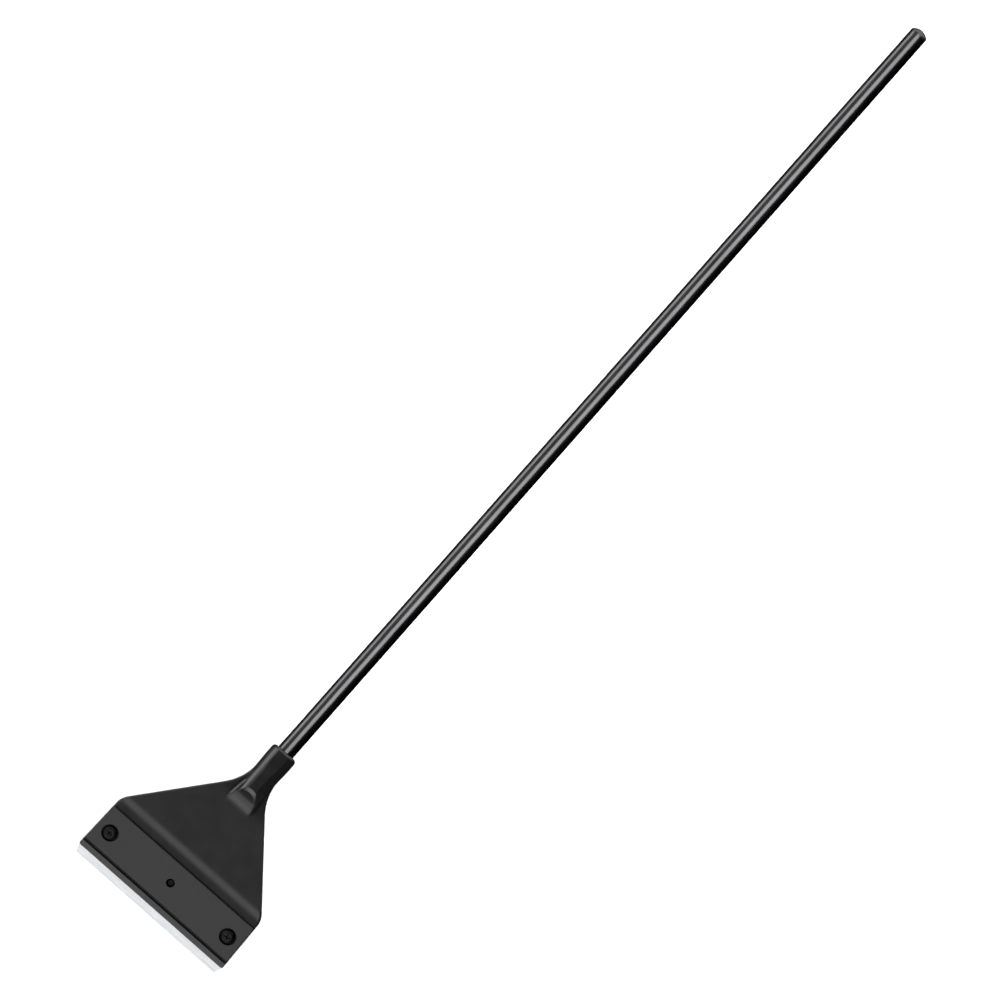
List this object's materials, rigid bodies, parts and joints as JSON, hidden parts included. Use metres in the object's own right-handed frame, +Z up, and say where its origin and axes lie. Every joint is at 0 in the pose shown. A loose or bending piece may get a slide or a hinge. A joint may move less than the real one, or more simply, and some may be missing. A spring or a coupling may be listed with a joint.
{
  "type": "algae scraper",
  "caption": "Long-handled aquarium algae scraper: a fan-shaped head clamps a replaceable double-edged blade under a screwed plate, on a straight tube handle.",
  "frame": {"origin": "under the middle of the whole tool, on the surface that it lies on", "axes": "+Y from the blade towards the handle's tip, X along the cutting edge, +Z up on the screw side"},
  "size_m": [0.1016, 0.625, 0.0176],
  "materials": {
    "head_plastic": "moulded, fine satin texture",
    "clamp_plastic": "moulded, fine satin texture",
    "blade_steel": "ground and polished",
    "screw_steel": "black oxide",
    "washer_steel": "black oxide",
    "pin_steel": "ground",
    "insert_brass": "turned and knurled",
    "stud_steel": "turned, rolled thread",
    "tube_coating": "gloss black coating on an aluminium tube",
    "plug_plastic": "moulded"
  },
  "bodies": {
    "head": {"head_body": "head_plastic", "left_insert": "insert_brass", "right_insert": "insert_brass", "locating_pin": "pin_steel", "socket_insert": "insert_brass"},
    "clamp": {"clamp_plate": "clamp_plastic"},
    "cutter": {"blade": "blade_steel"},
    "left_fastener": {"left_screw": "screw_steel", "left_washer": "washer_steel"},
    "right_fastener": {"right_screw": "screw_steel", "right_washer": "washer_steel"},
    "handle": {"handle_tube": "tube_coating", "handle_stud": "stud_steel", "tip_plug": "plug_plastic"}
  },
  "joints": [
    {"name": "clamp_lift", "type": "slide", "parent": "head", "child": "clamp", "axis": [0, -0.2588, 0.9659], "range_m": [0, 0.02]},
    {"name": "blade_lift", "type": "slide", "parent": "head", "child": "cutter", "axis": [0, -0.2588, 0.9659], "range_m": [0, 0.01]},
    {"name": "handle_draw", "type": "slide", "parent": "head", "child": "handle", "axis": [0, 1, 0], "range_m": [0, 0.03]},
    {"name": "left_screw_draw", "type": "slide", "parent": "clamp", "child": "left_fastener", "axis": [0, -0.2588, 0.9659], "range_m": [0, 0.008]},
    {"name": "right_screw_draw", "type": "slide", "parent": "clamp", "child": "right_fastener", "axis": [0, -0.2588, 0.9659], "range_m": [0, 0.008]}
  ],
  "couplings": [
    {"joint": "blade_lift", "follows": "clamp_lift", "ratio": 0.5}
  ]
}
